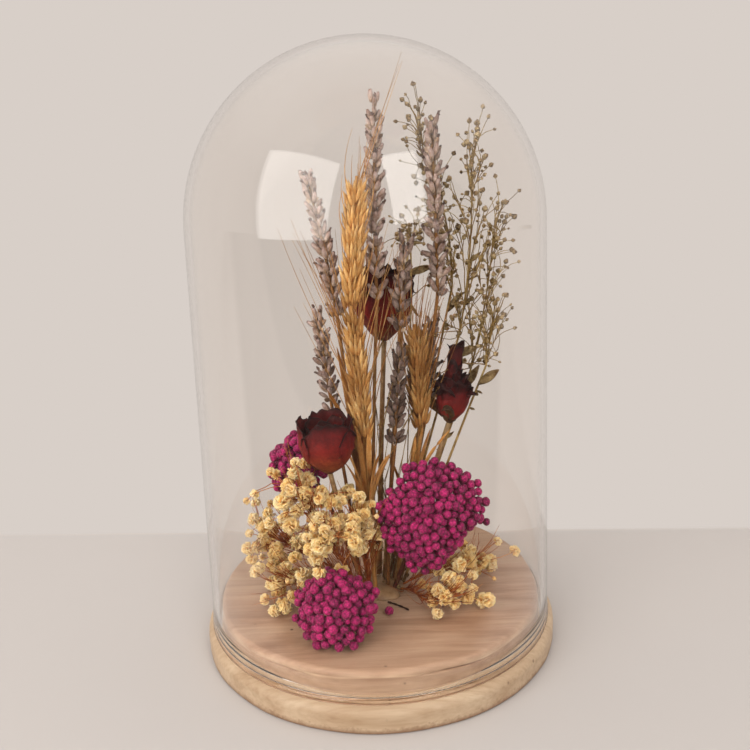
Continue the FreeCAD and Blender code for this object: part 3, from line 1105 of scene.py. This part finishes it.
def petal_shape(radius, height, facing, spread, flare, crinkle, notch, seed):
    """One rose petal wrapped round the +Z axis, from its narrow base to its crinkled top."""
    rows, columns = 15, 21
    t = np.linspace(0, 1, rows)[:, None] ** 0.85
    u = np.linspace(-1, 1, columns)[None, :]
    half = spread * (0.4 + 0.6 * np.sin(math.pi / 2 * np.minimum(1, t * 1.6)))
    angle = facing + u * half
    swell = np.interp(t, [0, 0.12, 0.3, 0.55, 0.8, 1], [0.22, 0.55, 0.86, 1.0, 0.97, 0.93])
    edge = np.abs(u) ** 3
    roll = np.clip((t - 0.84) / 0.16, 0, 1)
    reach = radius * (swell + flare * edge * t**3 + (0.05 + flare) * roll**1.5)
    level = height * (t * (1 - notch * edge * t) - 0.05 * roll**2)
    points = np.stack([reach * np.cos(angle), reach * np.sin(angle), level], -1)
    out = points * (1, 1, 0)
    out /= np.maximum(np.linalg.norm(out, axis=-1, keepdims=True), 1e-9)
    folds = ripple(points * (1, 1, 0.35), 0.010, seed) * 0.0007 * (0.3 + t)
    frill = ripple(points, 0.0036, seed + 1) * 0.00055 * t**3
    points = points + out * ((folds + frill) * crinkle)[..., None]
    points[..., 2] += ripple(points, 0.0048, seed + 2) * 0.0011 * crinkle * t**4
    shape = sheet(points, 0.00035)
    shape.along = np.repeat(t[:, 0], 2 * columns)
    return shape


def make_rose(node):
    """A dried rose bud: wrapped crinkled petals, a hip, sepals and a thorny stem."""
    first, notch, ripe, sepals = ROSES[node]["look"]
    thorn_length = 0.0022
    flower = Flower(node)
    rng = generator(node)
    stem, petals, green = Piece(), Piece(), Piece()
    path = bent_stem(flower, 0.0015, rng)
    stem.strand(path, ROSE_STEM_RADII, STEM_SIDES, 0.6)
    thorn = lathe([(0.3, 0.0), (0.18, 0.4), (0.02, 1.0)], 6)
    for share in np.arange(0.15, 0.9, 0.16):
        point, tangent = at_share(path, share + rng.uniform(-0.04, 0.04))
        out = across(tangent, rng.uniform(0, TURN))[0]
        stem.add(placed(thorn, point + out * 0.0008, out - 0.4 * tangent, 0, thorn_length), 0.2)
    stem.make(f"{node}_stem", "lavender_stem", "rose_petal", node=node)
    for layer, (count, wide, high, flare, crinkle) in enumerate(ROSES[node]["layers"]):
        for k in range(count):
            facing = first + layer * 0.9 + k * TURN / count + rng.normal(scale=0.12)
            spread = TURN / count * rng.uniform(0.62, 0.78)
            radius = flower.radius * wide * rng.uniform(0.95, 1.04)
            height = flower.length * high * rng.uniform(0.95, 1.02)
            seed = 100 * layer + k + int(1000 * flower.radius)
            shape = petal_shape(radius, height, facing, spread, flare, crinkle, notch, seed)
            shape.along = ripe + (1 - ripe) * shape.along
            tint = rng.uniform(0.35, 1.0) * (0.5 + 0.25 * layer)
            petals.add(placed(shape, flower.neck, flower.axis), min(tint, 1.0))
    petals.make(f"{node}_petals", "rose_petal", "rose_petal")
    hip = lathe([(0.0012, -0.001), (0.0030, 0.0004), (0.0042, 0.003), (0.003, 0.005)], 12, 0.05)
    green.add(placed(hip, flower.neck, flower.axis), 0.6)
    for k in range(sepals):
        leaf = leaf_shape(0.22, rng.uniform(0.5, 1.3), 0.03)
        turn = k * TURN / sepals + rng.normal(scale=0.2)
        out = across(flower.axis, turn)[0]
        axis = unit(flower.axis * 0.9 + out * rng.uniform(0.5, 1.1))
        start = flower.neck + out * 0.003 + flower.axis * 0.002
        size = rng.uniform(0.45, 0.62) * flower.length
        green.add(placed(leaf, start, axis, rng.uniform(0, TURN), size), rng.random())
    green.make(f"{node}_sepals", "rose_sepal", "rose_petal")


# ---------------------------------------------------------------- rice flowers

# For each head: its number of beads, and its outline as (degrees anticlockwise from the right
# as seen from the front, share of the head's radius)
RICE = {
    "rice_flower_left": (104, [(0, 0.95), (90, 1.0), (180, 1.0), (270, 1.05)]),
    "rice_flower_right": (
        178,
        [(20, 1.06), (42, 1.08), (75, 0.94), (103, 1.0), (135, 0.84), (170, 0.96), (200, 0.9)]
        + [(232, 0.92), (267, 1.1), (285, 0.92), (308, 0.76), (336, 0.74), (347, 1.14)],
    ),
    "rice_flower_front": (100, [(0, 1.05), (60, 0.9), (120, 1.08), (180, 1.05), (270, 0.95)]),
}
BEAD_RADIUS = 0.0022
# How far below the first layer of beads the second one lies
UNDER_LAYER = 0.0034


def spread_out(points, gap, rounds=30):
    """The points, pushed apart where they are nearer to each other than gap."""
    for _ in range(rounds):
        apart = points[:, None] - points[None]
        distance = np.linalg.norm(apart, axis=2) + np.eye(len(points))
        push = np.clip(gap - distance, 0, None) / distance * 0.3
        np.fill_diagonal(push, 0)
        points = points + (apart * push[..., None]).sum(1)
    return points


def bead_shape():
    """One round stippled flower head of unit radius, a little flat on top."""
    angles = np.radians(np.linspace(-78, 82, 9))
    profile = [(math.cos(a), math.sin(a) * (0.95 if a < 0 else 0.86)) for a in angles]
    shape = lathe(profile, 14, ridges=0.035)
    # Along runs from the underside to the top; the magenta finish uses it to paint shade on the
    # underside.
    shape.along = np.clip(0.5 + 0.5 * shape.points[:, 2], 0, 1)
    return shape


BEAD = bead_shape()


def make_rice_flower(node):
    """A domed head of magenta beads on thin stalks that meet at the stem."""
    count, outline_points = RICE[node]
    hub_count = 9
    flower = Flower(node)
    rng = generator(node)
    stem, beads = Piece(), Piece()
    path = bent_stem(flower, 0.001, rng, 10)
    stem.strand(path, RICE_STEM_RADII, STEM_SIDES, 0.3, along=0.0)
    angles, shares = zip(*outline_points)
    right = unit(np.array([1.0, 0, 0]) - flower.axis * flower.axis[0])
    up = np.cross(flower.axis, right)
    if up[2] < 0:
        up = -up
    hubs = []
    for k in range(hub_count):
        turn = k * GOLDEN_ANGLE
        reach = flower.radius * 0.45 * math.sqrt((k + 0.5) / hub_count)
        hub = flower.neck + flower.axis * flower.length * 0.42
        hub = hub + reach * (math.cos(turn) * right + math.sin(turn) * up)
        hubs.append(hub)
        halfway = flower.neck + (hub - flower.neck) * 0.5 + flower.axis * 0.001
        line = curve(flower.neck, halfway, hub, 5)
        stem.strand(line, HUB_RADII, TWIG_SIDES, rng.random(), along=0.4)
    centres = []
    for k in range(count):
        turn = k * GOLDEN_ANGLE
        share = math.sqrt((k + 0.5) / count)
        outline = np.interp(math.degrees(turn) % 360, angles, shares, period=360)
        reach = (flower.radius - BEAD_RADIUS) * share * outline * rng.uniform(0.96, 1.03)
        across_head = reach * (math.cos(turn) * right + math.sin(turn) * up)
        depth = flower.length - BEAD_RADIUS - 0.62 * flower.length * share**2.2
        depth += rng.normal(scale=0.0012)
        centres.append(flower.neck + across_head + flower.axis * depth)
    outer = spread_out(np.array(centres), 1.9 * BEAD_RADIUS)
    inner = outer - flower.axis * UNDER_LAYER
    inner = flower.neck + (inner - flower.neck) * 0.93
    for centre in held_inside(np.vstack([outer, inner])):
        off_axis = centre - flower.neck - flower.axis * ((centre - flower.neck) @ flower.axis)
        out = unit(flower.axis + off_axis / flower.radius)
        size = BEAD_RADIUS * rng.uniform(0.84, 1.08)
        beads.add(placed(BEAD, centre, out, rng.uniform(0, TURN), size), rng.random())
        hub = min(hubs, key=lambda h: np.linalg.norm(h - centre))
        line = curve(hub, hub + flower.axis * 0.004, centre, 5)
        stem.strand(line, BEAD_STALK_RADII, HAIR_SIDES, rng.random())
    stem.make(f"{node}_stalks", "bead_stalk", "magenta_bead", node=node)
    beads.make(f"{node}_beads", "magenta_bead", "magenta_bead")


def make_fallen_bits():
    """One bead and one bent twig that have dropped on the raised disc."""
    low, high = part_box("fallen_bead")
    bead = Piece()
    bead.add(placed(BEAD, np.array((low + high) / 2), (0.3, -0.6, 1), 0, (high.x - low.x) / 2), 0.7)
    bead.make("fallen_bead_bloom", "magenta_bead", "magenta_bead", node="fallen_bead")
    low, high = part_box("fallen_twig")
    radius = (high.z - low.z) / 2
    start = np.array([low.x, high.y, low.z + radius])
    end = np.array([high.x, low.y, low.z + radius])
    middle = (start + end) / 2 + (0.0006, 0.0008, 0)
    twig = Piece()
    line = curve(start, middle, end, 12)
    radii = radius * (0.75 + 0.25 * np.sin(np.arange(12) * 2.1))
    twig.add(sweep(line, radii, STEM_SIDES), 0.5)
    twig.make("fallen_twig_bark", "dark_twig", "dark_twig", node="fallen_twig")


# ---------------------------------------------------------------- sprays


def puff_shape(seed, petals=20):
    """A ruffled cream flower of unit radius: small frilled petals in a ball."""
    rng = np.random.default_rng(seed)
    gathered = Piece()
    t = np.linspace(0, 1, 4)[:, None]
    u = np.linspace(-1, 1, 4)[None, :]
    for k in range(petals):
        share = (k + 0.5) / petals
        lean = math.radians(12 + 105 * share)
        half = (0.14 + 0.34 * np.sin(math.pi * 0.62 * t)) * rng.uniform(0.8, 1.1)
        x = 0.3 * t**2 - 0.22 * u**2 * t + 0.2 * np.sin(4.5 * u + rng.uniform(0, TURN)) * t
        z = t * (1 - 0.22 * np.abs(u) ** 2) * rng.uniform(0.82, 1.05) + 0 * u
        leaf = sheet(np.stack([x, u * half, z], -1), 0.05)
        out = across((0, 0, 1), k * GOLDEN_ANGLE)[0]
        axis = math.cos(lean) * np.array([0, 0, 1.0]) + math.sin(lean) * out
        gathered.add(placed(leaf, np.zeros(3), axis, rng.uniform(-0.5, 0.5)), 0.5)
    points = np.vstack(gathered.points)
    along = np.clip(np.linalg.norm(points, axis=1), 0, 1)
    return Shape(points, [np.array(gathered.faces)], along)


def seed_shape():
    """A small ridged closed bud of unit radius."""
    profile = [(0.25, -0.9), (0.8, -0.45), (1.0, 0.1), (0.72, 0.75), (0.3, 1.1)]
    profile += [(0.35, 1.3), (0.1, 1.2)]
    shape = lathe(profile, 8, ridges=0.1)
    shape.along = np.clip(0.5 + 0.4 * shape.points[:, 2], 0, 1)
    return shape


PUFFS = [puff_shape(seed) for seed in (51, 52, 53)]
SEED = seed_shape()
SPRIG_LEAF = leaf_shape(0.24, 0.5, 0.02)
FIBRES = 64
# How near to the raised disc a bud or a fibre may come
LOWEST_BUD = 0.004
LOWEST_FIBRE = 0.002
# How far a twig strays from its curve, as a share of its length
TWIG_UNEVENNESS = 0.008

# For each kind of spray: its materials, its sizes in metres, how many small buds stand beside each
# CAD bud and how far off, how far down the stem its twigs begin, and how strongly they rise
CREAM = {
    "buds": "cream_flower",
    "twigs": "golden_twig",
    "slot": "cream_flower",
    "bud_radius": 0.0026,
    "stem_radius": 0.0006,
    "twig_radius": 0.00030,
    "extras": (4, 7),
    "extra_spread": 0.0068,
    "reach_back": 1.2,
    "rise": 0.4,
}
GREEN = {
    "buds": "green_bud",
    "twigs": "green_twig",
    "slot": "green_sprig",
    "bud_radius": 0.0014,
    "stem_radius": 0.0008,
    "twig_radius": 0.00026,
    "extras": (3, 6),
    "extra_spread": 0.0046,
    "reach_back": 3.4,
    "rise": 0.9,
}


def grow_twig(piece, start, end, heading, radius, rng):
    """A fine twig that leaves start along heading, bends to end, and is returned as its path."""
    length = np.linalg.norm(end - start)
    path = curve(start, start + unit(heading) * length * 0.5, end, 9)
    path[1:-1] += rng.normal(scale=TWIG_UNEVENNESS * length, size=path[1:-1].shape)
    path = held_inside(path)
    piece.strand(path, (radius, radius * 0.7), HAIR_SIDES, rng.random())
    return path


def make_spray(node, kind):
    """A branching spray: a stem, fine twigs to each CAD bud, and more small buds beside them."""
    points, edges = mesh_of(node)
    foot, start = stem_of(points, edges)
    tips = bud_centres(points, edges, kind["bud_radius"])
    rng = generator(node)
    twigs, buds = Piece(), Piece()
    axis = unit(tips.mean(0) - start)
    reach = ((tips - start) @ axis).max()
    lean = curve(foot, foot * 0.45 + start * 0.55 + (0, 0, 0.004), start, 14)
    control = start + unit(start - foot) * reach * 0.25 + axis * reach * 0.2
    spine = curve(start, control, start + axis * reach * 0.8, 14)
    whole = held_inside(np.vstack([lean, spine[1:]]))
    radii = (kind["stem_radius"], kind["twig_radius"])
    twigs.strand(whole, radii, TWIG_SIDES, rng.random())
    for tip in tips:
        rise = (tip - start) @ axis
        off = np.linalg.norm(tip - start - axis * rise)
        share = np.clip((rise - kind["reach_back"] * off) / (0.8 * reach), 0.02, 0.95)
        joint, tangent = at_share(spine, share)
        path = grow_twig(twigs, joint, tip, tangent + unit(tip - joint), kind["twig_radius"], rng)
        add_bud(buds, tip, unit(path[-1] - path[-2]), kind, rng, 1.0)
        for _ in range(rng.integers(*kind["extras"])):
            base, heading = at_share(path, rng.uniform(0.35, 0.8))
            offset = (rng.normal(size=3) + axis * kind["rise"]) * kind["extra_spread"]
            end = held_inside(tip + offset)
            end[2] = max(end[2], PLINTH_TOP + LOWEST_BUD)
            side = grow_twig(twigs, base, end, heading, kind["twig_radius"] * 0.8, rng)
            add_bud(buds, end, unit(side[-1] - side[-2]), kind, rng, rng.uniform(0.5, 1.0))
    if kind is GREEN:
        add_leaves(buds, whole, rng)
    else:
        add_fibres(twigs, whole, rng)
    twigs.make(f"{node}_twigs", kind["twigs"], kind["slot"], node=node)
    buds.make(f"{node}_buds", kind["buds"], kind["slot"])


def add_bud(piece, centre, axis, kind, rng, size):
    """A ruffled flower or a closed bud at the end of a twig."""
    radius = kind["bud_radius"] * size
    if kind is CREAM and (size > 0.62 or rng.random() < 0.5):
        shape = PUFFS[rng.integers(len(PUFFS))]
        start = centre - axis * radius * 0.3
        swell = radius * rng.uniform(1.3, 1.8)
        piece.add(placed(shape, start, axis, rng.uniform(0, TURN), swell), rng.random())
    else:
        swell = radius * rng.uniform(0.75, 1.1)
        piece.add(placed(SEED, centre, axis, rng.uniform(0, TURN), swell), rng.random())


def add_leaves(piece, path, rng):
    """A few small narrow leaves up a stem, the first of them longer and low down."""
    for k, share in enumerate(rng.uniform(0.3, 0.95, size=7)):
        point, tangent = at_share(path, 0.45 if k == 0 else share)
        out = unit(unit(point * (1, 1, 0)) + rng.normal(scale=0.6, size=3))
        axis = tangent * 0.7 + out * rng.uniform(0.5, 1.2)
        size = 0.016 if k == 0 else rng.uniform(0.004, 0.009)
        piece.add(placed(SPRIG_LEAF, point, axis, rng.uniform(0, TURN), size), 0.2)


def add_fibres(piece, path, rng):
    """Fine rusty fibres that stand round the lower stem."""
    for _ in range(FIBRES):
        point, tangent = at_share(path, rng.uniform(0.04, 0.75))
        spread = rng.normal(size=3) * (1, 1, 0.6)
        way = unit(tangent + 0.35 * spread + (0, 0, 0.5))
        length = rng.uniform(0.012, 0.032)
        end = point + way * length
        end[2] = max(end[2], PLINTH_TOP + LOWEST_FIBRE)
        control = point + unit(tangent + 0.2 * spread) * length * 0.5
        line = held_inside(curve(point, control, end, 7))
        piece.strand(line, FIBRE_RADII, HAIR_SIDES, rng.uniform(0, 0.5))


# ---------------------------------------------------------------- the set


def add_panel(name, width, height, material, place):
    """A flat panel of the stage, square to its own Z axis."""
    corners = [(-1, -1), (1, -1), (1, 1), (-1, 1)]
    mesh = bpy.data.meshes.new(name)
    mesh.from_pydata([(x * width / 2, y * height / 2, 0) for x, y in corners], [], [(0, 1, 2, 3)])
    mesh.materials.append(material)
    panel = bpy.data.objects.new(name, mesh)
    panel.matrix_world = place
    bpy.context.scene.collection.objects.link(panel)


def make_floor():
    """A plain pale floor; behind a soft line it takes the room's own colour, as a wall does.

    The glass mirrors its front part darker, as it would a small table with a dark floor round it.
    """
    paint = Paint("pale_floor", 0.9)
    parts = paint.add("SeparateXYZ", {0: paint.place()}).outputs
    tilt = paint.maths("MULTIPLY_ADD", parts["X"], -WALL_LINE_SLOPE, -WALL_LINE)
    behind = paint.maths("ADD", parts["Y"], tilt)
    share = paint.maths("MULTIPLY_ADD", behind, 1 / WALL_LINE_BLEND, 0.5, clamp=True)
    ahead = (parts["Y"], -1 / FRONT_BLEND, FRONT_LINE / FRONT_BLEND)
    front = paint.maths("MULTIPLY_ADD", *ahead, clamp=True)
    bounces = paint.add("LightPath", {}).outputs["Glossy Depth"]
    mirrored = paint.maths("MULTIPLY", bounces, front, clamp=True)
    paint.finish(paint.mix(mirrored, rgb(*TABLE_COLOUR), rgb(*TABLE_IN_REFLECTIONS)))
    wall = paint.add("Emission", {"Color": rgb(*ROOM_COLOUR)})
    paint.show_mix(share, paint.shader, wall)
    add_panel("floor", FLOOR_SIZE, FLOOR_SIZE, paint.material, Matrix())


def make_screen(name, width, height, place):
    """A patch of plain wall in front of a window, seen only straight through the glass.

    Blender keeps a window out of the camera's own view, and the screen keeps it out of the view
    through the glass too. Light and mirrored rays pass it.
    """
    paint = Paint(name, 1.0)
    ray = paint.add("LightPath", {}).outputs
    bounced = paint.maths("ADD", ray["Glossy Depth"], ray["Diffuse Depth"], clamp=True)
    straight = paint.maths("SUBTRACT", ray["Is Transmission Ray"], bounced, clamp=True)
    wall = paint.add("Emission", {"Color": rgb(*ROOM_BEHIND)})
    paint.show_mix(straight, paint.add("BsdfTransparent", {}), wall)
    paint.material.cycles.emission_sampling = "NONE"
    in_front = place @ Matrix.Translation((0, 0, -SCREEN_GAP))
    add_panel(name, width * SCREEN_MARGIN, height * SCREEN_MARGIN, paint.material, in_front)


def make_room():
    """The room all round the object: darker behind the camera, and lightest above."""
    world = bpy.data.worlds.new("room")
    world.use_nodes = True
    room = Nodes(world.node_tree)
    direction = room.add("TexCoord", {}).outputs["Generated"]
    parts = room.add("SeparateXYZ", {0: direction}).outputs
    shares = []
    for axis, (low, high) in (("Y", ROOM_TURNS_DARK), ("Z", CEILING_BEGINS)):
        values = {"Value": parts[axis], "From Min": low, "From Max": high}
        shares.append(room.add("MapRange", values).outputs[0])
    walls = room.mix(shares[0], rgb(*ROOM_BEHIND), rgb(*ROOM_COLOUR))
    colour = room.mix(shares[1], walls, rgb(*CEILING_COLOUR))
    room.put(room.nodes["Background"].inputs["Color"], colour)
    bpy.context.scene.world = world


def make_window(name, azimuth, elevation, size, watts):
    """A soft window that faces the object from an azimuth and an elevation in degrees."""
    turn, rise = math.radians(azimuth), math.radians(elevation)
    way = (
        math.sin(turn) * math.cos(rise),
        -math.cos(turn) * math.cos(rise),
        math.sin(rise),
    )
    light = bpy.data.lights.new(name, "AREA")
    light.shape = "RECTANGLE"
    light.size, light.size_y = size
    light.energy = watts
    light.color = WINDOW_COLOUR
    spot = [c + LIGHT_DISTANCE * w for c, w in zip(LIGHT_CENTRE, way)]
    turned = Matrix.Rotation(turn, 4, "Z") @ Matrix.Rotation(math.pi / 2 - rise, 4, "X")
    lamp = bpy.data.objects.new(name, light)
    lamp.matrix_world = Matrix.Translation(spot) @ turned
    bpy.context.scene.collection.objects.link(lamp)
    make_screen(f"{name}_screen", *size, lamp.matrix_world)


def make_camera():
    """The camera, at the photograph's viewing angle."""
    camera = bpy.data.objects.new("camera", bpy.data.cameras.new("camera"))
    camera.data.lens = CAMERA_LENS_MM
    camera.data.clip_start = 0.01
    turned = (
        Matrix.Rotation(math.radians(-CAMERA_PAN), 4, "Z")
        @ Matrix.Rotation(math.radians(90 - CAMERA_PITCH), 4, "X")
        @ Matrix.Rotation(math.radians(CAMERA_ROLL), 4, "Z")
    )
    camera.matrix_world = Matrix.Translation(CAMERA_PLACE) @ turned
    bpy.context.scene.collection.objects.link(camera)
    bpy.context.scene.camera = camera


make_camera()
make_room()
for name, window in WINDOWS.items():
    make_window(name, **window)
make_floor()
bpy.context.scene.view_settings.view_transform = "Standard"
make_dome()
make_base()
make_plinth()
make_glue()
for number in LAVENDER_TINTS_AND_PAINTED_SHADE:
    make_lavender(number)
for number in WHEAT:
    make_wheat(number)
for rose in ROSES:
    make_rose(rose)
for rice in RICE:
    make_rice_flower(rice)
make_fallen_bits()
for prefix, kind in (("cream_spray", CREAM), ("green_spray", GREEN)):
    for name in sorted(NODES):
        if name.startswith(prefix):
            make_spray(name, kind)
